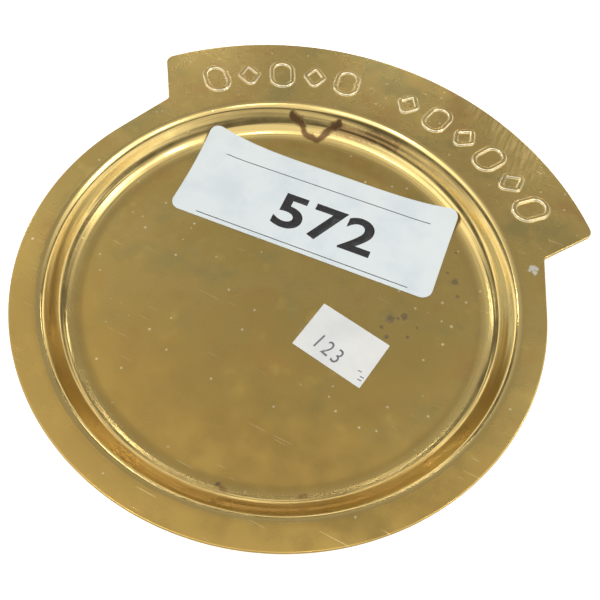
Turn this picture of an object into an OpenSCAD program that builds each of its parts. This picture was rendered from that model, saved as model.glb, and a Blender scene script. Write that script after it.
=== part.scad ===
// Round brass coin tray with a flat rim, a wide tab at the back and two paper labels lying in the dish.
// Millimetres. Z is up, the origin is the centre of the dish's flat underside, and +Y points to the tab.

/* [Dish] */
// Outer diameter of the round rim
rim_d = 152; // [146:1:190]
// Width of the flat rim, from its outer edge to where the lip starts to bend
rim_w = 6.6; // [5:0.1:9]
// Depth of the dish, from the top of the rim down to the floor
dish_depth = 9; // [8:0.5:16]
// Thickness of the brass sheet
sheet = 1.2; // [0.8:0.1:1.8]
// Radius of the convex bend between rim and wall, on the top face
lip_bend = 3; // [2:0.1:4]
// Radius of the concave bend between wall and floor, on the top face
foot_bend = 8; // [5:0.1:9]
// Slope of the wall above the level, in degrees
wall_slope = 62; // [55:1:75]

/* [Tab] */
// How far the tab stands out past the round rim
tab_reach = 21; // [19:0.5:28]
// Angle that the tab's outer edge spans, seen from the centre
tab_angle = 105.2; // [100:0.2:120]
// How far each side of the tab leans away from the radius at its corner, in degrees
side_lean = 18; // [4:1:28]
// Radius of the tab's outer corners
corner_r = 3.2; // [0.5:0.1:5]
// Angle between the two places where the rim's edge leaves the round and runs straight on to the tab's sides
flare_angle = 143; // [136:0.5:150]
// Radius in the notches where the tab's sides meet the rim's straight edges
notch_r = 1.8; // [0.4:0.1:3]

/* [Raised marks] */
// Height of a mark, across the tab
mark_h = 13.2; // [11:0.1:14]
// Width of a mark, along the tab
mark_w = 9.4; // [7.5:0.1:10.2]
// Width of the raised line that draws a mark
mark_line = 2; // [1:0.1:2.5]
// Height of the marks above the tab
mark_rise = 0.6; // [0.3:0.1:1.2]
// Angle from one mark to the next
mark_pitch = 8; // [7.8:0.1:8.6]
// Plain metal between the marks and the tab's outer edge
mark_margin = 8.8; // [5:0.1:9]

/* [Lot label] */
// Length of the lot label
lot_w = 87; // [60:1:89]
// Height of the lot label
lot_h = 34.5; // [20:0.5:38]
// Radius of the lot label's round corners
lot_corner = 3.5; // [1:0.5:6]
// Thickness of the paper that both labels are cut from
paper = 0.2; // [0.15:0.05:0.4]
// Turn of the lot label from the tray's X axis, in degrees
lot_turn = 5.2; // [0:0.1:12]
// How far the middle of the lot label lies to the left of the tray's middle
lot_left = 4.6; // [0:0.1:8]
// Radius that the stiff lot label bends up with towards the wall
lot_bend = 30; // [20:0.5:40]
// Room between the lot label's far corner and the wall
lot_air = 0.2; // [0.2:0.1:2]

/* [Price label] */
// Length of the price label
price_w = 23; // [18:0.5:26]
// Height of the price label
price_h = 16.4; // [12:0.1:19]
// Turn of the price label from the tray's X axis, in degrees
price_turn = -8.6; // [-20:0.1:20]
// How far the middle of the price label lies to the right of the tray's middle
price_right = 23; // [10:0.1:30]
// How far the middle of the price label lies in front of the tray's middle
price_front = 8.4; // [4:0.1:20]

/* [Hidden] */
$fn = 180;

// How far a piece of a shape runs into the one that it joins
join = 0.5;
// How far a round runs past the line that it blends into, so that the two cross instead of only touching
graze = 0.01;
// Steps that draw each bend of the sheet
BEND_STEPS = 12;
rim_r = rim_d / 2;
lip_r = rim_r - rim_w;
rim_top = sheet + dish_depth;
tab_r = rim_r + tab_reach;

// The wall runs straight between the two bends, and the flat floor ends where the lower bend starts
wall_len = (dish_depth - (lip_bend + foot_bend) * (1 - cos(wall_slope))) / sin(wall_slope);
foot_rise = foot_bend * (1 - cos(wall_slope));
foot_r = lip_r - lip_bend * sin(wall_slope) - wall_len * cos(wall_slope);
floor_r = foot_r - foot_bend * sin(wall_slope);

// The straight edge that leads from the round rim to the notch runs along one unit vector, and the other points
// square out of it; it lies a touch inside the round, so that it crosses it
flare_along = [-cos(flare_angle / 2), sin(flare_angle / 2)];
flare_out = [sin(flare_angle / 2), cos(flare_angle / 2)];
flare_off = rim_r - graze;

// The tab's side has two such vectors too
tab_half = tab_angle / 2;
side_angle = tab_half - side_lean;
side_along = [sin(side_angle), cos(side_angle)];
side_out = [cos(side_angle), -sin(side_angle)];
side_off = tab_r * sin(side_lean);

// The marks stand in two groups, with one place left free between them
LEFT_MARKS = 5;
RIGHT_MARKS = 6;
mark_places = LEFT_MARKS + 1 + RIGHT_MARKS;
mark_r = tab_r - mark_margin - mark_h / 2;

// The lot label lies flat up to this radius, then bends up and ends just short of the wall's foot
lot_end_r = foot_r - lot_air;
lot_end_angle = acos(1 - foot_rise / lot_bend);
lot_flat_r = lot_end_r - lot_bend * sin(lot_end_angle);

// Its far left corner is the one that stops it, which gives the place of its middle; the corner's round stays a touch
// inside that radius
lot_corner_in = [lot_w / 2 - lot_corner, lot_h / 2 - lot_corner];
lot_corner_x = -lot_left - lot_corner_in.x * cos(lot_turn) - lot_corner_in.y * sin(lot_turn);
lot_corner_y = lot_corner_in.y * cos(lot_turn) - lot_corner_in.x * sin(lot_turn);
lot_back = sqrt(pow(lot_end_r - 2 * graze - lot_corner, 2) - pow(lot_corner_x, 2)) - lot_corner_y;

// Points along an arc, both ends included
function arc(centre, r, from, to) =
    [for (i = [0 : BEND_STEPS]) let (a = from + (to - from) * i / BEND_STEPS) centre + r * [cos(a), sin(a)]];

// Half section of the dish: floor, lower bend, wall, upper bend and flat rim, first the top face, then back below
module dish_section() {
    foot_centre = [floor_r, sheet + foot_bend];
    lip_centre = [lip_r, rim_top - lip_bend];
    polygon(concat(
        [[0, sheet]],
        arc(foot_centre, foot_bend, -90, wall_slope - 90),
        arc(lip_centre, lip_bend, 90 + wall_slope, 90),
        [[rim_r, rim_top], [rim_r, rim_top - sheet]],
        arc(lip_centre, lip_bend - sheet, 90, 90 + wall_slope),
        arc(foot_centre, foot_bend + sheet, wall_slope - 90, -90),
        [[0, 0]]
    ));
}

// Point that lies so far out from the straight edge's line through the centre, and so far out from the side's
function notch_point(from_flare, from_side) =
    from_flare * flare_out
    + (from_side - from_flare * (flare_out * side_out)) / (flare_along * side_out) * flare_along;

// What the rim gains beside the tab: the metal inside its straight edge, and a hollow round of notch_r in the notch
module notch_fill() {
    centre = notch_point(flare_off + notch_r - graze, side_off + notch_r - graze);
    sharp = notch_point(flare_off, side_off);
    polygon([
        (flare_off - 2 * join) * flare_out,
        flare_off * flare_out,
        sharp,
        sharp * (rim_r - 2 * join) / norm(sharp)
    ]);
    difference() {
        polygon([
            centre,
            centre - (notch_r + join) * side_out,
            sharp - join * (side_out + flare_out),
            centre - (notch_r + join) * flare_out
        ]);
        translate(centre)
            circle(notch_r);
    }
}

// What is cut off the tab's sharp outer corner to leave a round of corner_r
module corner_cut() {
    centre_off = side_off - corner_r + graze;
    centre_r = tab_r - corner_r + graze;
    centre = centre_off * side_out + sqrt(pow(centre_r, 2) - pow(centre_off, 2)) * side_along;
    sharp = tab_r * [sin(tab_half), cos(tab_half)];
    difference() {
        polygon([
            centre,
            centre + (corner_r + join) * side_out,
            sharp + corner_r * (side_out + side_along),
            centre * (tab_r + join) / centre_r
        ]);
        translate(centre)
            circle(corner_r);
    }
}

// Outline of the tab, down to well inside the rim
module tab_outline() {
    inner = side_off * side_out;
    outer = inner + 2 * tab_r * side_along;
    difference() {
        intersection() {
            circle(tab_r);
            polygon([inner, outer, [-outer.x, outer.y], [-inner.x, inner.y]]);
        }
        for (side = [0, 1])
            mirror([side, 0])
                corner_cut();
    }
    for (side = [0, 1])
        mirror([side, 0])
            notch_fill();
}

// The tab's sheet, from just inside the edge of the rim outwards
module tab() {
    translate([0, 0, rim_top - sheet])
        linear_extrude(sheet)
            difference() {
                tab_outline();
                circle(rim_r - join);
            }
}

// A long ring with round ends, like a coin seen at a slant
module ring_mark() {
    outer_r = mark_w / 2;
    inner_r = outer_r - mark_line;
    straight = mark_h - mark_w;
    difference() {
        union() {
            for (end = [-1, 1])
                translate([0, end * straight / 2])
                    circle(outer_r);
            square([mark_w, straight], center = true);
        }
        for (end = [-1, 1])
            translate([0, end * straight / 2])
                circle(inner_r);
        square([2 * inner_r, straight], center = true);
    }
}

// A lozenge drawn with a line of the same width
module lozenge_mark() {
    half_w = mark_w / 2;
    half_h = mark_h / 2;
    corners = [[half_w, 0], [0, half_h], [-half_w, 0], [0, -half_h]];
    inner_share = 1 - mark_line * norm([half_w, half_h]) / (half_w * half_h);
    difference() {
        polygon(corners);
        polygon(inner_share * corners);
    }
}

// The raised marks, standing along the tab with their tops outwards
module marks() {
    for (place = [0 : mark_places - 1])
        if (place != LEFT_MARKS)
            rotate((mark_places - 1) / 2 * mark_pitch - place * mark_pitch)
                translate([0, mark_r, rim_top - join])
                    linear_extrude(join + mark_rise)
                        if ((place < LEFT_MARKS ? place : place - 1) % 2 == 0)
                            ring_mark();
                        else
                            lozenge_mark();
}

module tray() {
    color([0.64, 0.51, 0.25]) {
        rotate_extrude()
            dish_section();
        tab();
        marks();
    }
}

// Half section of the paper that lies on the floor and bends up before the wall
module lot_section() {
    centre = [lot_flat_r, sheet + lot_bend];
    polygon(concat(
        [[0, sheet]],
        arc(centre, lot_bend, -90, lot_end_angle - 90),
        arc(centre, lot_bend - paper, lot_end_angle - 90, -90),
        [[0, sheet + paper]]
    ));
}

module lot_outline() {
    square([lot_w, 2 * lot_corner_in.y], center = true);
    square([2 * lot_corner_in.x, lot_h], center = true);
    for (x = [-1, 1], y = [-1, 1])
        translate([x * lot_corner_in.x, y * lot_corner_in.y])
            circle(lot_corner);
}

module lot_label() {
    color([0.88, 0.9, 0.92])
        intersection() {
            rotate_extrude()
                lot_section();
            translate([-lot_left, lot_back])
                rotate(lot_turn)
                    linear_extrude(rim_top)
                        lot_outline();
        }
}

module price_label() {
    color([0.9, 0.9, 0.88])
        translate([price_right, -price_front, sheet + paper / 2])
            rotate(price_turn)
                cube([price_w, price_h, paper], center = true);
}

tray();
lot_label();
price_label();
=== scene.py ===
"""Round brass coin tray with a wide tab and two paper labels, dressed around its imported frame.

Metres throughout. Z is up, the origin is the centre of the tray's flat underside, and +Y points to the tab.
"""

from math import acos, atan2, cos, pi, radians, sin, sqrt, tan

import bmesh
import bpy
from bpy.props import FloatProperty, FloatVectorProperty, IntProperty, PointerProperty, StringProperty
from mathutils import Matrix, Vector


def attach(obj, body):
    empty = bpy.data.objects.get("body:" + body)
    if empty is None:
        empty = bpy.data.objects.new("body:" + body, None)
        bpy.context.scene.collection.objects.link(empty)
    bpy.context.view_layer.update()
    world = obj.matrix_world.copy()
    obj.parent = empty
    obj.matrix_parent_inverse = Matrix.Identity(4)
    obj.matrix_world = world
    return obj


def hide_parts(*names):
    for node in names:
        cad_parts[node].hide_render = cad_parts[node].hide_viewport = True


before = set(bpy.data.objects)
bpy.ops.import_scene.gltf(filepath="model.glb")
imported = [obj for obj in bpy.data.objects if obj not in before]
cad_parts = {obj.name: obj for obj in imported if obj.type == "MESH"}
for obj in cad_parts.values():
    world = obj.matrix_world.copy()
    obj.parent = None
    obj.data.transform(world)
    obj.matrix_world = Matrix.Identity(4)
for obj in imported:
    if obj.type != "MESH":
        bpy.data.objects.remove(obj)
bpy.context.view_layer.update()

bl_info = {
    "name": "Brass coin tray",
    "version": (1, 0, 0),
    "blender": (4, 5, 0),
    "location": "3D View > Sidebar > Coin tray",
    "description": "Builds a round brass coin tray with raised marks and two paper labels",
    "category": "Add Mesh",
}

MM = 0.001
UP = Vector((0, 0, 1))
Z_AXIS = (0, 0, 1)

# Edges that turn by more than this are softened
SHARP = radians(60)

# The marks stand in two groups, with one place left free between them
LEFT_MARKS = 5
RIGHT_MARKS = 6
MARK_PLACES = LEFT_MARKS + 1 + RIGHT_MARKS


def length(name, description, default, **more):
    """A size in metres that a user may change."""
    return FloatProperty(
        name=name, description=description, default=default * MM, min=0.0, unit="LENGTH", precision=5, **more
    )


def slant(name, description, default):
    """An angle that a user may change; its default is given in degrees."""
    return FloatProperty(name=name, description=description, default=radians(default), subtype="ANGLE")


def paint(name, description, default):
    """A colour that a user may change."""
    return FloatVectorProperty(
        name=name, description=description, default=default, size=3, min=0.0, max=1.0, subtype="COLOR"
    )


class DishSizes(bpy.types.PropertyGroup):
    """Sizes of the pressed brass sheet."""

    rim_radius: length("Rim radius", "From the centre to the outer edge of the round rim", 76)
    rim_width: length("Rim width", "Flat part of the rim, up to where the lip starts to bend", 6.6)
    depth: length("Depth", "From the top of the rim down to the floor of the dish", 9)
    sheet: length("Sheet", "Thickness of the brass", 1.2)
    lip_bend: length("Lip bend", "Radius of the bend between rim and wall, on top", 3)
    foot_bend: length("Foot bend", "Radius of the bend between wall and floor, on top", 8)
    wall_slope: slant("Wall slope", "Slope of the wall above the level", 62)
    tab_reach: length("Tab reach", "How far the tab stands out past the round rim", 21)
    tab_angle: slant("Tab angle", "Angle that the tab's outer edge spans, seen from the centre", 105.2)
    side_lean: slant("Side lean", "How far each side of the tab leans away from the corner's radius", 18)
    corner: length("Tab corner", "Radius of the tab's outer corners", 3.2)
    flare_angle: slant("Flare angle", "Angle between the places where the rim's edge turns straight", 143)
    notch: length("Notch", "Radius in the notches where the tab's sides meet the rim's edges", 1.8)
    edge: length("Edge", "Radius of the softened edges of the sheet", 0.32)


class MarkSizes(bpy.types.PropertyGroup):
    """Sizes of the raised rings and lozenges on the tab."""

    height: length("Height", "Size of a mark across the tab", 13.2)
    width: length("Width", "Size of a mark along the tab", 9.4)
    line: length("Line", "Width of the raised line at its foot", 2.2)
    rise: length("Rise", "Height of the raised line above the tab", 0.58)
    pitch: slant("Pitch", "Angle from one mark to the next", 8)
    margin: length("Margin", "Plain metal between the marks and the tab's outer edge", 8.8)
    bend: length("Bend", "Radius in the corners of a lozenge, along the middle of its line", 1.0)


class LabelSizes(bpy.types.PropertyGroup):
    """Sizes and places of the two paper labels."""

    paper: length("Paper", "Thickness of the paper", 0.2)
    lot_width: length("Lot label length", "Length of the lot label", 87)
    lot_height: length("Lot label height", "Height of the lot label", 34.5)
    lot_corner: length("Lot label corner", "Radius of the lot label's corners", 3.5)
    lot_turn: slant("Lot label turn", "Turn of the lot label from the X axis", 5.2)
    lot_left: length("Lot label left", "How far the lot label's middle lies to the left", 4.6)
    lot_back: length("Lot label back", "How far the lot label's middle lies towards the tab", 30.88)
    lot_bend: length("Lot label bend", "Radius that the lot label bends up with towards the wall", 30)
    lot_end: length("Lot label end", "Radius of the circle, beside the wall, where its bend ends", 64.86)
    lot_rise: length("Lot label rise", "How far the lot label has risen on that circle", 4.244)
    lot_digits: StringProperty(name="Lot digits", description="Digits on the lot label", default="572")
    price_width: length("Price label length", "Length of the price label", 23)
    price_height: length("Price label height", "Height of the price label", 16.4)
    price_turn: slant("Price label turn", "Turn of the price label from the X axis", -8.6)
    price_right: length("Price label right", "How far the price label's middle lies to the right", 23)
    price_front: length("Price label front", "How far the price label's middle lies to the front", 8.4)
    price_digits: StringProperty(name="Price digits", description="Digits on the price label", default="123")


class Finish(bpy.types.PropertyGroup):
    """Colours of the metal, the paper and the print."""

    rubbed: paint("Rubbed brass", "Brass where hands have kept it bright", (0.66, 0.475, 0.16))
    aged: paint("Aged brass", "Brass that has gone dull and olive", (0.48, 0.34, 0.10))
    # Partly real polish, partly painted sheen: paler brass on the wall and its bends, so that their
    # reflections come out whiter
    bends: paint("Bright brass", "Paler brass along the wall and its bends", (0.72, 0.55, 0.22))
    # Painted highlight: pale colour for the sides of the raised marks, standing in for their shine
    raised: paint("Glint on marks", "Pale brass along the sides of the raised marks", (0.92, 0.86, 0.66))
    warmed: paint("Warmed brass", "Deeper gold towards the front", (0.55, 0.355, 0.09))
    reddened: paint("Reddened brass", "Clouds where the brass has turned reddish", (0.54, 0.32, 0.10))
    greened: paint("Greened brass", "Clouds where the brass has turned greenish", (0.42, 0.35, 0.13))
    flecks: paint("Flecks", "Small flecks of brighter metal", (0.80, 0.58, 0.18))
    stain: paint("Stain", "Reddish brown stains on the wall and its foot", (0.115, 0.050, 0.022))
    spot: paint("Spot", "Small dark spots on the floor", (0.085, 0.075, 0.065))
    crust: paint("Crust", "Pale crust on the rim", (0.62, 0.62, 0.58))
    nick: paint("Nick", "Bare metal in pits, nicks and scratches", (0.98, 0.86, 0.55))
    label_paper: paint("Lot label paper", "Cool white paper of the lot label", (0.70, 0.755, 0.765))
    label_shade: paint("Lot label shade", "Faint clouds on the lot label", (0.63, 0.69, 0.73))
    sticker_paper: paint("Price label paper", "Warm white paper of the price label", (0.74, 0.745, 0.725))
    sticker_shade: paint("Price label shade", "Faint clouds on the price label", (0.67, 0.68, 0.67))
    ink: paint("Ink", "Black print", (0.012, 0.012, 0.014))
    faint_ink: paint("Faint ink", "Grey print of the price gun", (0.16, 0.17, 0.19))
    grain: FloatProperty(name="Grain", description="Strength of the scratches and pits", default=1.0)


class StageLooks(bpy.types.PropertyGroup):
    """Floor, light and camera."""

    sky: FloatProperty(name="Surroundings", description="Strength of the surroundings", default=0.42)
    tint: paint("Tint", "Faintly warm white of the surroundings", (1.0, 0.985, 0.96))
    lamps: FloatProperty(name="Lamps", description="Strength of the soft lamps", default=1.0)
    lens: FloatProperty(name="Lens", description="Focal length in mm on a 36 mm sensor", default=39.471)
    swing: slant("Camera swing", "Turn of the camera about the vertical", 19.94)
    tilt: slant("Camera tilt", "Lean of the view away from straight down", 29.986)
    roll: slant("Camera roll", "Turn of the camera about its line of sight", 7.798)
    steps: IntProperty(name="Steps round the dish", description="Faces round the dish", default=360, min=32)


# Shapes


def arc_on(bm, end, centre, angle, steps, axis=Z_AXIS):
    """Draws an arc on from a loose end, and gives back the new end."""
    made = bmesh.ops.spin(
        bm, geom=[end], cent=centre, axis=axis, angle=angle, steps=steps, dvec=(0, 0, 0), use_merge=False
    )
    return next(item for item in made["geom_last"] if isinstance(item, bmesh.types.BMVert))


def line_on(bm, end, to, steps=1):
    """Draws a straight line on from a loose end, and gives back the new end."""
    stride = (Vector(to) - end.co) / steps
    for _ in range(steps):
        made = bmesh.ops.extrude_vert_indiv(bm, verts=[end])
        end = made["verts"][0]
        bmesh.ops.translate(bm, vec=stride, verts=[end])
    return end


def join_mesh(bm, other):
    """Adds another bmesh to this one, and frees it."""
    mesh = bpy.data.meshes.new("joined")
    other.to_mesh(mesh)
    other.free()
    bm.from_mesh(mesh)
    bpy.data.meshes.remove(mesh)


def weld(bm):
    """Merges vertices that lie on one another."""
    bmesh.ops.remove_doubles(bm, verts=bm.verts[:], dist=2e-7)


def finish_piece(name, bm, material, nodes=()):
    """Turns a finished bmesh into a piece of the tray."""
    bmesh.ops.recalc_face_normals(bm, faces=bm.faces[:])
    for face in bm.faces:
        face.smooth = True
    mesh = bpy.data.meshes.new(name)
    bm.to_mesh(mesh)
    bm.free()
    mesh.materials.append(material)
    piece = bpy.data.objects.new(name, mesh)
    bpy.context.scene.collection.objects.link(piece)
    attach(piece, "root")
    if nodes:
        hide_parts(*nodes)
    return piece


def dish_half_section(bm, sizes, seam):
    """The top face of the dish from its centre out to the seam on the flat rim, as one chain of edges."""
    top = sizes.sheet + sizes.depth
    lip = sizes.rim_radius - sizes.rim_width
    slope = sizes.wall_slope
    wall = (sizes.depth - (sizes.lip_bend + sizes.foot_bend) * (1 - cos(slope))) / sin(slope)
    floor = lip - (sizes.lip_bend + sizes.foot_bend) * sin(slope) - wall * cos(slope)
    end = bm.verts.new((0, 0, sizes.sheet))
    end = line_on(bm, end, (floor - 2 * MM, 0, sizes.sheet), 8)
    end = line_on(bm, end, (floor, 0, sizes.sheet), 2)
    end = arc_on(bm, end, (floor, 0, sizes.sheet + sizes.foot_bend), slope, 18, (0, -1, 0))
    end = line_on(bm, end, end.co + wall * Vector((cos(slope), 0, sin(slope))), 2)
    end = arc_on(bm, end, (lip, 0, top - sizes.lip_bend), slope, 12, (0, 1, 0))
    line_on(bm, end, (seam, 0, top), 4)


def tray_outline(bm, sizes):
    """The outer edge of rim and tab at the rim's level, as one closed chain of edges."""
    top = sizes.sheet + sizes.depth
    rim = sizes.rim_radius
    reach = rim + sizes.tab_reach
    half = sizes.tab_angle / 2
    turn = half - sizes.side_lean
    along = Vector((sin(turn), cos(turn), 0))
    out = Vector((cos(turn), -sin(turn), 0))
    off = reach * sin(sizes.side_lean)

    def round_centre(side, radius):
        """The point that lies so far out, square to the tab's side, at a radius from the dish's centre."""
        return side * out + sqrt(radius * radius - side * side) * along

    flare_out = Vector((sin(sizes.flare_angle / 2), cos(sizes.flare_angle / 2), 0))
    flare_along = Vector((-flare_out.y, flare_out.x, 0))
    past = (off + sizes.notch - (rim + sizes.notch) * flare_out.dot(out)) / flare_along.dot(out)
    notch_centre = (rim + sizes.notch) * flare_out + past * flare_along
    corner_centre = round_centre(off - sizes.corner, reach - sizes.corner)
    flare_at = atan2(flare_out.y, flare_out.x)
    corner_at = atan2(corner_centre.y, corner_centre.x)
    level = top * UP
    out_at = atan2(out.y, out.x)

    end = bm.verts.new((0, -rim, top))
    end = arc_on(bm, end, (0, 0, 0), flare_at + pi / 2, 108)
    end = line_on(bm, end, notch_centre - sizes.notch * flare_out + level, 16)
    end = arc_on(bm, end, notch_centre, out_at - flare_at, 8)
    end = line_on(bm, end, corner_centre + sizes.corner * out + level, 6)
    end = arc_on(bm, end, corner_centre, corner_at - out_at, 10)
    arc_on(bm, end, (0, 0, 0), pi / 2 - corner_at, 52)
    bmesh.ops.mirror(bm, geom=bm.verts[:] + bm.edges[:], axis="X", merge_dist=1e-7)
    weld(bm)


def make_tray_mesh(sizes, steps):
    """The whole brass sheet: a spun dish, filled out to the outline of rim and tab, then thickened."""
    seam = sizes.rim_radius - 1.6 * MM

    rim = bmesh.new()
    tray_outline(rim, sizes)
    face = bmesh.ops.contextual_create(rim, geom=rim.edges[:])["faces"][0]
    if face.normal.z < 0:
        face.normal_flip()
    for inset in (0.4 * MM, 0.5 * MM):
        bmesh.ops.inset_region(rim, faces=[face], thickness=inset, use_even_offset=True, use_boundary=True)
    bmesh.ops.delete(rim, geom=[face], context="FACES_ONLY")

    bm = bmesh.new()
    dish_half_section(bm, sizes, seam)
    bmesh.ops.spin(
        bm, geom=bm.verts[:] + bm.edges[:], cent=(0, 0, 0), axis=Z_AXIS, angle=2 * pi, steps=steps,
        dvec=(0, 0, 0), use_merge=True,
    )
    weld(bm)
    seam_edges = [edge for edge in bm.edges if edge.is_boundary]
    join_mesh(bm, rim)
    known = set(seam_edges)
    inner = [
        edge for edge in bm.edges
        if edge.is_boundary and edge not in known and not on_outline(edge)
    ]
    bmesh.ops.triangle_fill(bm, use_beauty=True, use_dissolve=False, edges=seam_edges + inner, normal=UP)
    bmesh.ops.recalc_face_normals(bm, faces=bm.faces[:])
    if sum(face.normal.z * face.calc_area() for face in bm.faces) < 0:
        bmesh.ops.reverse_faces(bm, faces=bm.faces[:])
    bmesh.ops.solidify(bm, geom=bm.faces[:], thickness=sizes.sheet)
    sharp = [edge for edge in bm.edges if edge.is_manifold and edge.calc_face_angle() > SHARP]
    bmesh.ops.bevel(
        bm, geom=sharp, offset=sizes.edge, offset_type="OFFSET", affect="EDGES", segments=4, profile=0.5,
        material=-1, clamp_overlap=False,
    )
    return bm


def on_outline(edge):
    """Whether an edge of the rim's ring is on its outer side, with its face towards the centre."""
    face = edge.link_faces[0]
    middle = (edge.verts[0].co + edge.verts[1].co) / 2
    inward = face.calc_center_median() - middle
    along = edge.verts[1].co - edge.verts[0].co
    side = Vector((-along.y, along.x, 0))
    if side.dot(middle) < 0:
        side = -side
    return inward.dot(side) < 0


class LineSweep:
    """Carries a raised line's section along straights and bends, the way a pen draws."""

    def __init__(self, bm, place, heading, sizes):
        self.bm = bm
        self.place = Vector(place)
        self.heading = heading
        self.front = self.draw_section(sizes)

    def draw_section(self, sizes):
        """A low rise with rounded shoulders and hollow feet, closed below the tab's face."""
        bm = self.bm
        below = -0.3 * MM
        fall = radians(68)
        round_sum = sizes.rise / (1 - cos(fall))
        shoulder = 0.56 * round_sum
        hollow = round_sum - shoulder
        left = sizes.line / 2
        end = bm.verts.new((left, 0, 0))
        first = end
        end = arc_on(bm, end, (left, 0, hollow), fall, 5, (0, 1, 0))
        inner = left - round_sum * sin(fall)
        end = arc_on(bm, end, (inner, 0, sizes.rise - shoulder), fall, 6, (0, -1, 0))
        end = line_on(bm, end, (-inner, 0, sizes.rise), 2)
        end = arc_on(bm, end, (-inner, 0, sizes.rise - shoulder), fall, 6, (0, -1, 0))
        end = arc_on(bm, end, (-left, 0, hollow), fall, 5, (0, 1, 0))
        end = line_on(bm, end, (-left, 0, below))
        end = line_on(bm, end, (left, 0, below))
        line_on(bm, end, first.co)
        return self.lay_section(first)

    def lay_section(self, first):
        """Stands the section at the start of the line, across its heading, and gives back its edges."""
        bm = self.bm
        todo, chain = [first], set()
        while todo:
            vert = todo.pop()
            for edge in vert.link_edges:
                if edge not in chain:
                    chain.add(edge)
                    todo.append(edge.other_vert(vert))
        verts = list({vert for edge in chain for vert in edge.verts})
        bmesh.ops.remove_doubles(bm, verts=verts, dist=2e-7)
        verts = [vert for vert in verts if vert.is_valid]
        place = Matrix.Translation(self.place) @ Matrix.Rotation(self.heading - pi / 2, 4, "Z")
        bmesh.ops.transform(bm, matrix=place, verts=verts)
        return list({edge for vert in verts for edge in vert.link_edges})

    def forward(self):
        """The way that the line is heading."""
        return Vector((cos(self.heading), sin(self.heading), 0))

    def go(self, distance):
        """Draws a straight."""
        made = bmesh.ops.extrude_edge_only(self.bm, edges=self.front)["geom"]
        verts = [item for item in made if isinstance(item, bmesh.types.BMVert)]
        bmesh.ops.translate(self.bm, vec=distance * self.forward(), verts=verts)
        self.front = [
            item for item in made
            if isinstance(item, bmesh.types.BMEdge) and all(vert in set(verts) for vert in item.verts)
        ]
        self.place += distance * self.forward()

    def turn(self, radius, angle, steps):
        """Bends to the left."""
        centre = self.place + radius * Vector((-sin(self.heading), cos(self.heading), 0))
        made = bmesh.ops.spin(
            self.bm, geom=self.front, cent=centre, axis=Z_AXIS, angle=angle, steps=steps, dvec=(0, 0, 0),
            use_merge=False,
        )["geom_last"]
        self.front = [item for item in made if isinstance(item, bmesh.types.BMEdge)]
        self.place = centre + Matrix.Rotation(angle, 3, "Z") @ (self.place - centre)
        self.heading += angle


def ring_mark(bm, sizes):
    """A long ring with round ends."""
    radius = (sizes.width - sizes.line) / 2
    straight = sizes.height - sizes.width
    sweep = LineSweep(bm, (radius, -straight / 2, 0), pi / 2, sizes)
    for _ in range(2):
        sweep.go(straight)
        sweep.turn(radius, pi, 28)


def lozenge_mark(bm, sizes):
    """A lozenge with slightly rounded corners."""
    half_w, half_h = sizes.width / 2, sizes.height / 2
    share = 1 - sizes.line / 2 * sqrt(half_w**2 + half_h**2) / (half_w * half_h)
    half_w, half_h = share * half_w, share * half_h
    side_turn = pi - 2 * atan2(half_h, half_w)
    end_turn = pi - side_turn
    heading = atan2(half_h, -half_w)
    cut = sizes.bend * tan(side_turn / 2)
    straight = sqrt(half_w**2 + half_h**2) - cut - sizes.bend * tan(end_turn / 2)
    start = (half_w + cut * cos(heading), cut * sin(heading), 0)
    sweep = LineSweep(bm, start, heading, sizes)
    for _ in range(2):
        sweep.go(straight)
        sweep.turn(sizes.bend, end_turn, 10)
        sweep.go(straight)
        sweep.turn(sizes.bend, side_turn, 8)


def make_marks_mesh(sizes, dish):
    """The raised marks along the tab: rings and lozenges by turns."""
    bm = bmesh.new()
    radius = dish.rim_radius + dish.tab_reach - sizes.margin - sizes.height / 2
    top = dish.sheet + dish.depth
    order = 0
    for place in range(MARK_PLACES):
        if place == LEFT_MARKS:
            continue
        before = set(bm.verts)
        draw = ring_mark if order % 2 == 0 else lozenge_mark
        draw(bm, sizes)
        made = [vert for vert in bm.verts if vert not in before]
        swing = ((MARK_PLACES - 1) / 2 - place) * sizes.pitch
        matrix = Matrix.Rotation(swing, 4, "Z") @ Matrix.Translation((0, radius, top))
        bmesh.ops.transform(bm, matrix=matrix, verts=made)
        order += 1
    weld(bm)
    return bm


def lot_lift(sizes, spot):
    """How far the lot label has risen at a spot: it lies flat on the floor and bends up before the wall."""
    rise = sizes.lot_bend * sin(acos(1 - sizes.lot_rise / sizes.lot_bend))
    past = max(0.0, min(spot.to_2d().length - sizes.lot_end + rise, rise))
    return sizes.lot_bend - sqrt(sizes.lot_bend**2 - past**2)


def lot_place(sizes):
    """Where the lot label lies, seen from above."""
    middle = Vector((-sizes.lot_left, sizes.lot_back, 0))
    return Matrix.Translation(middle) @ Matrix.Rotation(sizes.lot_turn, 4, "Z")


def score(bm, half_w, half_h, stride):
    """Cuts a flat piece by lines across both ways, so that it can bend."""
    for axis, half in ((Vector((1, 0, 0)), half_w), (Vector((0, 1, 0)), half_h)):
        count = int(half / stride)
        for i in range(-count, count + 1):
            bmesh.ops.bisect_plane(
                bm, geom=bm.verts[:] + bm.edges[:] + bm.faces[:], dist=1e-8, plane_co=i * stride * axis,
                plane_no=axis,
            )


def bend_to_dish(bm, sizes, dish, above):
    """Lays flat paper or print in the dish, so far above the floor, and bends it up towards the wall."""
    bmesh.ops.transform(bm, matrix=lot_place(sizes), verts=bm.verts[:])
    for vert in bm.verts:
        vert.co.z += dish.sheet + above + lot_lift(sizes, vert.co)


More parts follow.
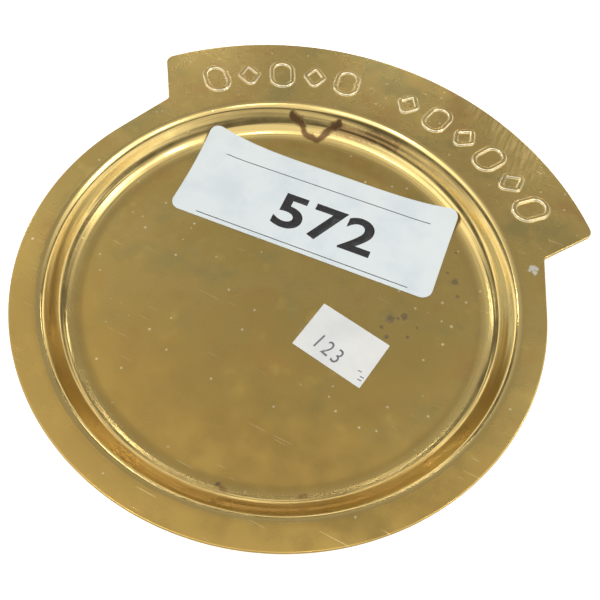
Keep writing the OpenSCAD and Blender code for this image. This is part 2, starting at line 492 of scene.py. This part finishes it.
def rounded_card(bm, width, height, corner):
    """A flat card with round corners, as one face."""
    x, y = width / 2, height / 2
    end = bm.verts.new((x, corner - y, 0))
    for cx, cy, to in (
        (x - corner, y - corner, (x, y - corner, 0)),
        (corner - x, y - corner, (corner - x, y, 0)),
        (corner - x, corner - y, (-x, corner - y, 0)),
        (x - corner, corner - y, (x - corner, -y, 0)),
    ):
        end = line_on(bm, end, to)
        end = arc_on(bm, end, (cx, cy, 0), pi / 2, 10)
    weld(bm)
    bmesh.ops.contextual_create(bm, geom=bm.edges[:])


def thicken(bm, thickness, edge=0.0):
    """Gives flat faces a thickness upwards and, where asked, takes the sharpness off their edges."""
    bmesh.ops.recalc_face_normals(bm, faces=bm.faces[:])
    if sum(face.normal.z for face in bm.faces) < 0:
        bmesh.ops.reverse_faces(bm, faces=bm.faces[:])
    bmesh.ops.solidify(bm, geom=bm.faces[:], thickness=thickness)
    bmesh.ops.translate(bm, vec=thickness * UP, verts=bm.verts[:])
    if edge:
        sharp = [item for item in bm.edges if item.is_manifold and item.calc_face_angle() > SHARP]
        sharp = [item for item in sharp if abs(item.verts[0].co.z - item.verts[1].co.z) < 1e-6]
        bmesh.ops.bevel(
            bm, geom=sharp, offset=edge, offset_type="OFFSET", affect="EDGES", segments=2, profile=0.5,
            material=-1,
        )


def digits_mesh(text, height, stretch, weight, spacing, thickness):
    """Plain digits as a closed mesh, with the middle of the text at the origin."""
    # How tall a digit is, as a share of the font's size
    digit_share = 0.7
    curve = bpy.data.curves.new("digits", "FONT")
    curve.body = text
    curve.size = height / digit_share
    curve.offset = weight
    curve.extrude = thickness / 2
    curve.space_character = spacing
    curve.align_x = "LEFT"
    curve.resolution_u = 10
    holder = bpy.data.objects.new("digits", curve)
    bpy.context.scene.collection.objects.link(holder)
    depsgraph = bpy.context.evaluated_depsgraph_get()
    mesh = bpy.data.meshes.new_from_object(holder.evaluated_get(depsgraph))
    bpy.data.objects.remove(holder)
    bpy.data.curves.remove(curve)
    bm = bmesh.new()
    bm.from_mesh(mesh)
    bpy.data.meshes.remove(mesh)
    weld(bm)
    xs = [vert.co.x for vert in bm.verts]
    ys = [vert.co.y for vert in bm.verts]
    middle = Vector(((min(xs) + max(xs)) / 2, (min(ys) + max(ys)) / 2, 0))
    bmesh.ops.translate(bm, vec=thickness / 2 * UP - middle, verts=bm.verts[:])
    bmesh.ops.scale(bm, vec=(stretch, 1, 1), verts=bm.verts[:])
    return bm


def add_strip(bm, start, end, width, thickness):
    """A thin printed rule between two points."""
    start, end = Vector(start), Vector(end)
    made = bmesh.ops.create_cube(bm, size=1)["verts"]
    run = end - start
    matrix = (
        Matrix.Translation((start + end) / 2 + thickness / 2 * UP)
        @ Matrix.Rotation(atan2(run.y, run.x), 4, "Z")
        @ Matrix.Diagonal((run.length, width, thickness, 1))
    )
    bmesh.ops.transform(bm, matrix=matrix, verts=made)


# Materials


def new_tree(name):
    """An empty material with its output node."""
    material = bpy.data.materials.new(name)
    material.use_nodes = True
    tree = material.node_tree
    tree.nodes.clear()
    output = tree.nodes.new("ShaderNodeOutputMaterial")
    return material, tree, output


def add(tree, kind, values=None, **settings):
    """Adds a node; each value is a number or colour, or another node's socket to link."""
    made = tree.nodes.new(kind)
    for key, value in settings.items():
        setattr(made, key, value)
    for key, value in (values or {}).items():
        if isinstance(value, bpy.types.NodeSocket):
            tree.links.new(value, made.inputs[key])
        else:
            made.inputs[key].default_value = value
    return made


def maths(tree, operation, first, second=0.0, clamp=False):
    """One sum on numbers or sockets."""
    node = add(tree, "ShaderNodeMath", {0: first, 1: second}, operation=operation, use_clamp=clamp)
    return node.outputs[0]


def ramp(tree, value, low, high, to_low=0.0, to_high=1.0):
    """A smooth step from one value to another."""
    node = add(
        tree, "ShaderNodeMapRange",
        {"Value": value, "From Min": low, "From Max": high, "To Min": to_low, "To Max": to_high},
        interpolation_type="SMOOTHSTEP",
    )
    return node.outputs["Result"]


def product(tree, first, *others):
    """Numbers or sockets multiplied one after another."""
    for other in others:
        first = maths(tree, "MULTIPLY", first, other)
    return first


def strongest_of(tree, masks):
    """The highest of several masks."""
    strongest, *others = masks
    for other in others:
        strongest = maths(tree, "MAXIMUM", strongest, other)
    return strongest


def vectors(tree, operation, values, output=0):
    """One sum on vectors."""
    return add(tree, "ShaderNodeVectorMath", values, operation=operation).outputs[output]


def blend(tree, share, first, second):
    """One colour laid over another by a share."""
    node = add(tree, "ShaderNodeMix", {"Factor": share, 6: first, 7: second}, data_type="RGBA")
    return node.outputs[2]


def rgba(colour, gain=1.0):
    """A colour as a shader wants it, made lighter or darker by a gain."""
    return (colour[0] * gain, colour[1] * gain, colour[2] * gain, 1.0)


def noise(tree, coords, scale, detail=3.0, roughness=0.5, stretch=None, turn=0.0):
    """Noise on the piece's own coordinates, which may be turned and stretched."""
    if stretch:
        coords = add(
            tree, "ShaderNodeMapping", {"Vector": coords, "Rotation": (0, 0, turn), "Scale": stretch}
        ).outputs[0]
    node = add(
        tree, "ShaderNodeTexNoise",
        {"Vector": coords, "Scale": scale, "Detail": detail, "Roughness": roughness},
    )
    return node.outputs["Fac"]


def round_patch(tree, coords, x, y, size, soft, ragged, wobble):
    """A soft round patch on the tray at a place in millimetres: 1 in its middle, 0 outside."""
    apart = vectors(tree, "SUBTRACT", {0: coords, 1: (x * MM, y * MM, 0)})
    flat = vectors(tree, "MULTIPLY", {0: apart, 1: (1, 1, 0)})
    far = vectors(tree, "LENGTH", {0: flat}, "Value")
    far = maths(tree, "ADD", far, product(tree, wobble, ragged * MM))
    return ramp(tree, far, (size + soft) * MM, (size - soft) * MM)


def streak(tree, coords, x0, y0, x1, y1, size, ragged, wobble):
    """A soft streak between two places, in millimetres: 1 along its middle, 0 outside."""
    start = Vector((x0, y0)) * MM
    run = Vector((x1, y1)) * MM - start
    apart = vectors(tree, "SUBTRACT", {0: coords, 1: (start.x, start.y, 0)})
    flat = vectors(tree, "MULTIPLY", {0: apart, 1: (1, 1, 0)})
    along = vectors(tree, "DOT_PRODUCT", {0: flat, 1: (run.x, run.y, 0)}, "Value")
    share = maths(tree, "DIVIDE", along, run.length_squared, clamp=True)
    nearest = vectors(tree, "SCALE", {0: (run.x, run.y, 0), "Scale": share})
    far = vectors(tree, "DISTANCE", {0: flat, 1: nearest}, "Value")
    far = maths(tree, "ADD", far, product(tree, wobble, ragged * MM))
    return ramp(tree, far, size * MM, 0.35 * size * MM)


def patches_over(tree, coords, wobble, places):
    """The strongest of many small patches; each is given as x, y, size and raggedness in millimetres."""
    return strongest_of(tree, [
        round_patch(tree, coords, x, y, 0.75 * size, 0.4 * size, ragged, wobble)
        for x, y, size, ragged in places
    ])


def streaks_over(tree, coords, wobble, runs):
    """The strongest of several streaks; each is given as both ends, size and raggedness in millimetres."""
    return strongest_of(tree, [streak(tree, coords, *run, wobble) for run in runs])


def pits_over(tree, coords, wobble, scale, size, share):
    """Small round pits in some of the cells of a scatter; share says how many of the cells stay bare."""
    cells = add(tree, "ShaderNodeTexVoronoi", {"Vector": coords, "Scale": scale, "Randomness": 1.0})
    chosen = add(tree, "ShaderNodeSeparateColor", {0: cells.outputs["Color"]}).outputs[0]
    far = maths(tree, "ADD", cells.outputs["Distance"], product(tree, wobble, 0.7 * size))
    return product(tree, ramp(tree, far, size, 0.35 * size), ramp(tree, chosen, share, share + 0.04))


def brass_material(finish, dish, marks):
    """Old brass sheet: bright on the rim, duller on the floor, with clouds, stains, pits and scratches."""
    material, tree, output = new_tree("Aged brass")
    coords = add(tree, "ShaderNodeTexCoord").outputs["Object"]
    parts = add(tree, "ShaderNodeSeparateXYZ", {0: coords}).outputs
    flat = vectors(tree, "MULTIPLY", {0: coords, 1: (1, 1, 0)})
    radius = vectors(tree, "LENGTH", {0: flat}, "Value")
    heading = vectors(tree, "NORMALIZE", {0: flat})

    # How far from the centre the finish changes, and how high the rim's top and the marks' tops are
    floor_end, floor_gone = 58 * MM, 66 * MM
    bends_full, bends_fade, bends_end = 64 * MM, 68 * MM, 69.8 * MM
    rim_top = dish.sheet + dish.depth
    crest = rim_top + marks.rise
    on_floor = ramp(tree, radius, floor_gone, floor_end)
    on_bends = product(
        tree, ramp(tree, radius, floor_end, bends_full), ramp(tree, radius, bends_end, bends_fade)
    )

    # Coordinates that run round the dish, for the lines along its wall; they change slowly round it
    slow = (1.4 * MM, 1.4 * MM, 0)
    outwards = add(tree, "ShaderNodeCombineXYZ", {"Z": radius}).outputs[0]
    round_dish = vectors(tree, "MULTIPLY_ADD", {0: heading, 1: slow, 2: outwards})
    wall_lines = maths(tree, "SUBTRACT", noise(tree, round_dish, 700, 1.5, 0.45), 0.5)

    # Noise from broad clouds down to fine grain, and the wobble that makes the edge of a stain ragged
    clouds = noise(tree, coords, 34, 4, 0.6)
    patches = noise(tree, coords, 110, 4, 0.55)
    tarnish = noise(tree, coords, 62, 4, 0.56, (1, 1, 1), 1.1)
    fine = noise(tree, coords, 900, 3, 0.6)
    wobble = maths(tree, "SUBTRACT", noise(tree, coords, 520, 3, 0.65), 0.5)

    # Dull metal shows in clouds, and most of all on the floor
    dull = maths(tree, "ADD", product(tree, clouds, 0.85), product(tree, patches, 0.6))
    dull = ramp(tree, dull, 0.58, 0.86)
    dull = maths(tree, "ADD", product(tree, dull, 0.62), product(tree, on_floor, 0.38), True)
    reddish = ramp(tree, tarnish, 0.52, 0.70, 0.0, 0.5)
    greenish = ramp(tree, tarnish, 0.48, 0.34, 0.0, 0.6)
    flecks = ramp(tree, patches, 0.58, 0.72, 0.0, 0.3)
    warm = ramp(tree, parts["Y"], 4 * MM, -52 * MM, 0.0, 0.8)
    colour = blend(tree, dull, rgba(finish.rubbed), rgba(finish.aged))
    colour = blend(tree, reddish, colour, rgba(finish.reddened))
    colour = blend(tree, greenish, colour, rgba(finish.greened))
    colour = blend(tree, flecks, colour, rgba(finish.flecks))
    colour = blend(tree, warm, colour, rgba(finish.warmed))
    # Paler brass over the wall and its bends: partly real polish, partly painted sheen
    colour = blend(tree, product(tree, on_bends, 0.8), colour, rgba(finish.bends))

    # Painted reflection of a lamp: a bright patch on the tab, laid on in short slanting strokes of brushing
    brushed_sheen = streaks_over(tree, coords, wobble, BRUSHED_SHEEN)
    strokes = ramp(tree, noise(tree, coords, 1.0, 3, 0.6, (1500, 130, 30), 0.5), 0.40, 0.66)
    colour = blend(tree, product(tree, brushed_sheen, strokes, 0.7), colour, rgba(finish.bends, 1.2))

    # Reddish brown stains on the wall and its foot, dark spots on the floor and a pale crust on the rim
    stain = streaks_over(tree, coords, wobble, STAINS)
    smear = streaks_over(tree, coords, wobble, SMEARS)
    spots = patches_over(tree, coords, wobble, SPOTS)
    crust = patches_over(tree, coords, wobble, CRUSTS)
    colour = blend(tree, product(tree, smear, 0.5), colour, rgba(finish.stain, 2.6))
    colour = blend(tree, product(tree, stain, 0.88), colour, rgba(finish.stain))
    colour = blend(tree, product(tree, spots, 0.7), colour, rgba(finish.spot))
    colour = blend(tree, product(tree, crust, 0.85), colour, rgba(finish.crust))

    # Fine scratches, small pits and a few larger nicks, all bright
    scratches = strongest_of(tree, [
        ramp(tree, noise(tree, coords, 1.0, 2, 0.5, stretch, turn), low, low + 0.05)
        for turn, stretch, low in SCRATCHES
    ])
    pits = strongest_of(tree, [pits_over(tree, coords, wobble, *row) for row in PITS])
    nicks = maths(tree, "MAXIMUM", pits, patches_over(tree, coords, wobble, NICKS))
    bright = maths(tree, "MAXIMUM", product(tree, scratches, 0.45), nicks)
    off_bends = maths(tree, "SUBTRACT", 1.0, on_bends)
    colour = blend(tree, product(tree, bright, off_bends, 0.75), colour, rgba(finish.nick))

    # Painted highlight: the sides of the raised marks are painted pale, from just above their foot to just
    # below their top, so that they shine all round
    raised = product(
        tree, ramp(tree, parts["Z"], rim_top + 0.04 * MM, rim_top + 0.14 * MM),
        ramp(tree, parts["Z"], crest - 0.01 * MM, crest - 0.12 * MM),
    )
    colour = blend(tree, product(tree, raised, 0.8), colour, rgba(finish.raised))

    # The outer edge of the sheet and the underside of the rim are duller than its top face: rougher metal,
    # and a darker colour painted on as shade
    edge = product(
        tree, ramp(tree, parts["Z"], rim_top - 0.03 * MM, rim_top - 0.10 * MM),
        ramp(tree, radius, dish.rim_radius - 4 * MM, dish.rim_radius - 3 * MM),
    )
    colour = blend(tree, product(tree, edge, 0.6), colour, rgba(finish.aged, 0.55))

    # How much rougher than rubbed metal each finish is
    grimed = strongest_of(tree, (stain, spots, crust))
    rough = maths(tree, "ADD", product(tree, dull, 0.12), 0.19)
    for mask, more in ((edge, 0.25), (on_bends, -0.08), (patches, 0.08), (grimed, 0.25), (raised, -0.08)):
        rough = maths(tree, "ADD", rough, product(tree, mask, more))

    # Slow waves left by the press, then lines along the wall, grain, and pits and scratches
    waves = noise(tree, coords, 42, 1.5, 0.4)
    ridges = product(tree, wall_lines, on_bends)
    dents = maths(tree, "ADD", nicks, product(tree, scratches, 0.5))
    bump = add(tree, "ShaderNodeBump", {"Strength": 0.5, "Distance": 0.16 * MM, "Height": waves}).outputs[0]
    for strength, relief, height in (
        (1.0, 0.28, ridges), (0.18 * finish.grain, 0.02, fine), (0.5 * finish.grain, -0.03, dents),
    ):
        bump = add(
            tree, "ShaderNodeBump",
            {"Strength": strength, "Distance": relief * MM, "Height": height, "Normal": bump},
        ).outputs[0]

    shader = add(
        tree, "ShaderNodeBsdfPrincipled",
        {"Base Color": colour, "Metallic": 1.0, "Roughness": rough, "Normal": bump, "Coat Weight": 0.2,
         "Coat Roughness": 0.12},
    )
    tree.links.new(shader.outputs[0], output.inputs[0])
    return material


# The painted reflection on the tab, the stains and the smears: both ends of each streak, its size and its
# raggedness, in mm
BRUSHED_SHEEN = ((29, 94, 40, 88, 9, 5), (40, 88, 50, 75, 9, 5))
STAINS = (
    (-27.9, 59.5, -24.3, 59.8, 1.3, 1.6),
    (-24.3, 59.8, -21.5, 58.1, 1.5, 1.8),
    (-21.5, 58.1, -17.0, 58.2, 1.6, 1.8),
    (-17.0, 58.2, -15.1, 62.3, 1.6, 1.8),
    (-15.1, 62.3, -12.5, 64.4, 1.4, 1.8),
)
SMEARS = (
    (-12.4, 63.6, -7.0, 64.2, 1.6, 2.4),
    (-7.0, 64.2, 1.6, 65.4, 1.5, 2.4),
    (1.6, 65.4, 9.0, 65.0, 1.2, 2.4),
    (11.9, -59.1, 14.3, -59.8, 0.9, 1.6),
    (31.9, -52.5, 33.0, -51.5, 0.8, 1.4),
)

# Spots on the floor, pale crusts on the rim and bright nicks: x, y, size and raggedness, in mm
SPOTS = (
    (32.2, 6.2, 1.8, 3.2), (35.8, 9.0, 1.4, 3.0), (34.3, 7.4, 0.8, 1.4), (31.0, 2.7, 1.0, 1.4),
    (33.5, 0.3, 1.0, 1.4), (39.0, 3.1, 0.7, 1.0), (40.4, 7.3, 0.5, 0.8), (45.1, 27.9, 1.6, 2.8),
    (47.3, 23.2, 0.9, 1.2), (41.8, 29.7, 0.7, 1.4), (41.4, 38.2, 0.6, 1.0), (11.9, -59.1, 0.9, 1.4),
)
CRUSTS = ((63.6, 37.4, 1.2, 3.4), (64.6, 36.2, 1.1, 3.4), (62.9, 36.2, 0.7, 2.6), (65.0, 37.8, 0.6, 2.2))
NICKS = (
    (44.1, 19.0, 0.55, 0.8), (37.5, 13.2, 0.5, 0.8), (46.1, 13.0, 0.5, 0.8), (49.4, 12.6, 0.5, 0.8),
    (49.1, 5.8, 0.5, 0.8), (50.4, 22.6, 0.5, 0.8), (31.0, 16.4, 0.4, 0.6),
)

# Sets of scratches: turn, how far the noise is stretched each way, and the level where a scratch starts
SCRATCHES = ((0.35, (60, 1500, 30), 0.72), (1.25, (50, 1700, 30), 0.725), (2.35, (70, 1300, 30), 0.725))

# Sets of pits: how close they lie, their size as a share of a cell, and the share of cells without one
PITS = ((260.0, 0.13, 0.74), (150.0, 0.085, 0.62), (90.0, 0.06, 0.55))


def paper_material(name, paper, shade):
    """Smooth label stock with faint clouds of handling."""
    material, tree, output = new_tree(name)
    coords = add(tree, "ShaderNodeTexCoord").outputs["Object"]
    clouds = ramp(tree, noise(tree, coords, 70, 3, 0.6), 0.42, 0.72)
    colour = blend(tree, clouds, rgba(paper), rgba(shade))
    fibres = noise(tree, coords, 2600, 3, 0.6)
    bump = add(
        tree, "ShaderNodeBump", {"Strength": 0.12, "Distance": 0.02 * MM, "Height": fibres}
    ).outputs[0]
    shader = add(
        tree, "ShaderNodeBsdfPrincipled",
        {"Base Color": colour, "Roughness": 0.55, "Normal": bump, "Specular IOR Level": 0.35},
    )
    tree.links.new(shader.outputs[0], output.inputs[0])
    return material


def ink_material(name, colour):
    """Dry print, slightly uneven where the paper's grain shows through."""
    material, tree, output = new_tree(name)
    coords = add(tree, "ShaderNodeTexCoord").outputs["Object"]
    worn = ramp(tree, noise(tree, coords, 1800, 3, 0.6), 0.45, 0.75, 0.0, 0.25)
    shade = blend(tree, worn, rgba(colour), rgba(tuple(0.6 * part + 0.08 for part in colour)))
    shader = add(tree, "ShaderNodeBsdfPrincipled", {"Base Color": shade, "Roughness": 0.5})
    tree.links.new(shader.outputs[0], output.inputs[0])
    return material


def floor_material():
    """Plain pale floor that comes out white and still takes the tray's soft shadow."""
    material, tree, output = new_tree("Pale floor")
    pale = 0.80
    diffuse = add(tree, "ShaderNodeBsdfDiffuse", {"Color": (pale, pale, pale, 1.0)}).outputs[0]
    path = add(tree, "ShaderNodeLightPath").outputs
    seen = strongest_of(tree, (path["Is Camera Ray"], path["Is Glossy Ray"], path["Is Transmission Ray"]))
    glow = add(tree, "ShaderNodeEmission", {"Strength": product(tree, seen, 0.55)}).outputs[0]
    both = add(tree, "ShaderNodeAddShader", {0: diffuse, 1: glow}).outputs[0]
    tree.links.new(both, output.inputs[0])
    return material


# Steps that build the tray


class COINTRAY_OT_tray(bpy.types.Operator):
    """Build the brass sheet of the tray: dish, lip, flat rim and tab"""

    bl_idname = "cointray.tray"
    bl_label = "Tray"

    def execute(self, context):
        scene = context.scene
        bm = make_tray_mesh(scene.dish_sizes, scene.stage_looks.steps)
        brass = brass_material(scene.tray_finish, scene.dish_sizes, scene.mark_sizes)
        finish_piece("tray_sheet", bm, brass, ("tray",))
        return {"FINISHED"}


class COINTRAY_OT_marks(bpy.types.Operator):
    """Build the raised rings and lozenges on the tab"""

    bl_idname = "cointray.marks"
    bl_label = "Raised marks"

    def execute(self, context):
        scene = context.scene
        bm = make_marks_mesh(scene.mark_sizes, scene.dish_sizes)
        material = bpy.data.materials["Aged brass"]
        finish_piece("raised_marks", bm, material, ("tray",))
        return {"FINISHED"}


# How far the labels' edges are softened, and how far past the paper's thickness the print starts
PAPER_EDGE = 0.05 * MM
PRINT_RISE = 0.005 * MM

# Print on the labels, in mm from the middle of each: both ends of the rules, the middle of the digits, and
# where the dashes start
LOT_RULES = (((-35.5, 9.5), (36.0, 10.3)), ((-34.6, -15.7), (36.0, -15.6)))
LOT_DIGITS_AT = (4.9, -3.7, 0)
PRICE_DIGITS_AT = (-1.9, -3.4, 0)
PRICE_DIGITS_TURN = radians(-8)
PRICE_DASHES = ((8.2, -3.9), (9.7, -5.1), (9.5, -6.2))


class COINTRAY_OT_lot_label(bpy.types.Operator):
    """Build the large paper label with its rules and plain digits"""

    bl_idname = "cointray.lot_label"
    bl_label = "Lot label"

    def execute(self, context):
        scene = context.scene
        sizes, dish, finish = scene.label_sizes, scene.dish_sizes, scene.tray_finish
        half_w, half_h = sizes.lot_width / 2, sizes.lot_height / 2
        stride = 1.5 * MM
        card = bmesh.new()
        rounded_card(card, sizes.lot_width, sizes.lot_height, sizes.lot_corner)
        thicken(card, sizes.paper, PAPER_EDGE)
        score(card, half_w, half_h, stride)
        bend_to_dish(card, sizes, dish, 0.01 * MM)
        paper = paper_material("Lot label paper", finish.label_paper, finish.label_shade)
        finish_piece("lot_card", card, paper, ("lot_label",))

        film = 0.02 * MM
        top = sizes.paper + PRINT_RISE
        ink = ink_material("Black print", finish.ink)
        rules = bmesh.new()
        for start, end in LOT_RULES:
            add_strip(rules, Vector((*start, 0)) * MM, Vector((*end, 0)) * MM, 0.28 * MM, film)
        score(rules, half_w, half_h, stride)
        bend_to_dish(rules, sizes, dish, top)
        finish_piece("lot_rules", rules, ink)
        digits = digits_mesh(
            sizes.lot_digits, height=13.0 * MM, stretch=1.18, weight=0.42 * MM, spacing=1.06, thickness=film
        )
        bmesh.ops.translate(digits, vec=Vector(LOT_DIGITS_AT) * MM, verts=digits.verts[:])
        score(digits, half_w, half_h, 2 * stride)
        bend_to_dish(digits, sizes, dish, top)
        finish_piece("lot_digits", digits, ink)
        return {"FINISHED"}


class COINTRAY_OT_price_label(bpy.types.Operator):
    """Build the small price label with its faint digits and dashes"""

    bl_idname = "cointray.price_label"
    bl_label = "Price label"

    def execute(self, context):
        scene = context.scene
        sizes, dish, finish = scene.label_sizes, scene.dish_sizes, scene.tray_finish
        place = Matrix.Translation((sizes.price_right, -sizes.price_front, dish.sheet)) @ Matrix.Rotation(
            sizes.price_turn, 4, "Z"
        )
        card = bmesh.new()
        rounded_card(card, sizes.price_width, sizes.price_height, 0.25 * MM)
        thicken(card, sizes.paper, PAPER_EDGE)
        bmesh.ops.transform(card, matrix=place, verts=card.verts[:])
        paper = paper_material("Price label paper", finish.sticker_paper, finish.sticker_shade)
        finish_piece("price_card", card, paper, ("price_label",))

        film = 0.015 * MM
        above = Matrix.Translation((0, 0, sizes.paper + PRINT_RISE))
        ink = ink_material("Grey print", finish.faint_ink)
        digits = digits_mesh(
            sizes.price_digits, height=4.9 * MM, stretch=0.8, weight=-0.02 * MM, spacing=1.25, thickness=film
        )
        turn = Matrix.Translation(Vector(PRICE_DIGITS_AT) * MM) @ Matrix.Rotation(PRICE_DIGITS_TURN, 4, "Z")
        bmesh.ops.transform(digits, matrix=place @ above @ turn, verts=digits.verts[:])
        for x, y in PRICE_DASHES:
            dash = bmesh.new()
            add_strip(dash, (x * MM, y * MM, 0), ((x + 1.2) * MM, (y + 0.1) * MM, 0), 0.3 * MM, film)
            bmesh.ops.transform(dash, matrix=place @ above, verts=dash.verts[:])
            join_mesh(digits, dash)
        finish_piece("price_digits", digits, ink)
        return {"FINISHED"}


class COINTRAY_OT_stage(bpy.types.Operator):
    """Lay the pale floor and set up the soft light and the camera"""

    bl_idname = "cointray.stage"
    bl_label = "Stage"

    def execute(self, context):
        scene = context.scene
        looks = scene.stage_looks
        half_floor = 6.0
        floor = bmesh.new()
        bmesh.ops.create_grid(floor, x_segments=1, y_segments=1, size=half_floor)
        mesh = bpy.data.meshes.new("pale_floor")
        floor.to_mesh(mesh)
        floor.free()
        mesh.materials.append(floor_material())
        ground = bpy.data.objects.new("pale_floor", mesh)
        ground.location.z = -0.05 * MM
        scene.collection.objects.link(ground)
        self.light_world(scene, looks)
        for name, aim, distance, size, radiance in SOFTBOXES:
            self.hang_softbox(scene, name, Vector(aim), distance, size, radiance * looks.lamps)
        self.set_camera(scene, looks)
        scene.view_settings.view_transform = "Standard"
        return {"FINISHED"}

    def light_world(self, scene, looks):
        """Soft surroundings: a bright low band, which the wall and its bends mirror, and light overhead."""
        world = bpy.data.worlds.new("Studio surroundings")
        world.use_nodes = True
        tree = world.node_tree
        tree.nodes.clear()
        way = add(tree, "ShaderNodeTexCoord").outputs["Generated"]
        parts = add(tree, "ShaderNodeSeparateXYZ", {0: way}).outputs

        # The low band is brighter behind the tray than in front of it, and its upper part is uneven
        bright = ramp(tree, parts["Y"], -0.15, -0.70, 4.2, 2.2)
        uneven = ramp(tree, noise(tree, way, 2.4, 2, 0.5), 0.36, 0.64, -0.55, 0.5)
        uneven = product(tree, uneven, ramp(tree, parts["Z"], 0.09, 0.17))
        uneven = maths(tree, "ADD", uneven, 1.0)
        low = ramp(tree, parts["Z"], 0.10, 0.26, product(tree, bright, uneven), 0.32)

        # The light overhead is stronger towards the front, the right and the left
        high = ramp(tree, parts["Z"], 0.42, 0.66, 0.0, 0.68)
        front = ramp(tree, parts["Y"], 0.32, -0.35, 1.0, 3.4)
        left = ramp(tree, parts["X"], -0.15, -0.60, 1.0, 1.8)
        right = ramp(tree, parts["X"], 0.20, 0.48, 1.0, 3.4)
        high = product(tree, high, maths(tree, "MAXIMUM", front, right), left)

        strength = product(tree, maths(tree, "ADD", low, high), looks.sky)
        glow = add(tree, "ShaderNodeBackground", {"Color": rgba(looks.tint), "Strength": strength})
        output = tree.nodes.new("ShaderNodeOutputWorld")
        tree.links.new(glow.outputs[0], output.inputs[0])
        scene.world = world

    def hang_softbox(self, scene, name, aim, distance, size, radiance):
        """A soft lamp that faces the tray; a lamp's energy is its radiance over its area and all ways out."""
        lamp = bpy.data.lights.new(name, "AREA")
        lamp.shape = "RECTANGLE"
        lamp.size, lamp.size_y = size
        lamp.energy = radiance * pi * size[0] * size[1]
        holder = bpy.data.objects.new(name, lamp)
        holder.location = aim.normalized() * distance
        holder.rotation_euler = aim.to_track_quat("Z", "Y").to_euler()
        scene.collection.objects.link(holder)

    def set_camera(self, scene, looks):
        """The camera as it was fitted to the circles of the rim and the tab."""
        view = bpy.data.cameras.new("Camera")
        view.sensor_width = 36.0
        view.lens = looks.lens
        camera = bpy.data.objects.new("Camera", view)
        turn = (
            Matrix.Rotation(looks.swing, 4, "Z")
            @ Matrix.Rotation(looks.tilt, 4, "X")
            @ Matrix.Rotation(looks.roll, 4, "Z")
        )
        camera.matrix_world = Matrix.Translation(CAMERA_PLACE) @ turn
        scene.collection.objects.link(camera)
        scene.camera = camera


# Where the camera stands, from the fit of the rim's circles
CAMERA_PLACE = Vector((39.258, -92.657, 170.280)) * MM

# Each soft lamp: name, direction from the tray, distance, width and height in metres, and radiance
SOFTBOXES = (
    ("Lamp over the tray", (0.22, -0.12, 0.97), 0.70, (0.08, 0.06), 17.0),
    ("Lamp on the right", (0.60, 0.02, 0.80), 0.75, (0.06, 0.11), 17.0),
    ("Lamp behind on the right", (0.58, 0.38, 0.72), 0.75, (0.09, 0.08), 13.0),
    ("Lamp in front", (-0.28, -0.30, 0.91), 0.75, (0.06, 0.06), 17.0),
    ("Panel on the right", (0.62, 0.34, 0.71), 0.75, (0.26, 0.28), 1.8),
    ("Panel in front", (-0.15, -0.42, 0.90), 0.75, (0.36, 0.22), 1.6),
    ("Lamp on the left", (-0.76, 0.26, 0.60), 0.75, (0.06, 0.07), 16.0),
    ("Lamp behind on the left", (-0.52, 0.72, 0.46), 0.80, (0.09, 0.035), 14.0),
    ("Lamp behind", (-0.18, 0.87, 0.46), 0.80, (0.13, 0.03), 15.0),
    ("Lamp far behind", (0.16, 0.86, 0.48), 0.80, (0.06, 0.04), 15.0),
)


class COINTRAY_PT_panel(bpy.types.Panel):
    """Lists the steps that build the coin tray"""

    bl_idname = "COINTRAY_PT_panel"
    bl_label = "Coin tray"
    bl_space_type = "VIEW_3D"
    bl_region_type = "UI"
    bl_category = "Coin tray"

    def draw(self, context):
        for step in STEPS:
            self.layout.operator(step.bl_idname)


STEPS = (
    COINTRAY_OT_tray,
    COINTRAY_OT_marks,
    COINTRAY_OT_lot_label,
    COINTRAY_OT_price_label,
    COINTRAY_OT_stage,
)
GROUPS = {
    "dish_sizes": DishSizes,
    "mark_sizes": MarkSizes,
    "label_sizes": LabelSizes,
    "tray_finish": Finish,
    "stage_looks": StageLooks,
}
CLASSES = (*GROUPS.values(), *STEPS, COINTRAY_PT_panel)


def register():
    """Makes the sizes, the steps and the panel known."""
    for made in CLASSES:
        bpy.utils.register_class(made)
    for name, group in GROUPS.items():
        setattr(bpy.types.Scene, name, PointerProperty(type=group))


def unregister():
    """Takes them out again."""
    for name in GROUPS:
        delattr(bpy.types.Scene, name)
    for made in reversed(CLASSES):
        bpy.utils.unregister_class(made)


def main():
    """Builds the tray and its stage."""
    register()
    for step in STEPS:
        family, name = step.bl_idname.split(".")
        getattr(getattr(bpy.ops, family), name)()


if __name__ == "__main__":
    main()
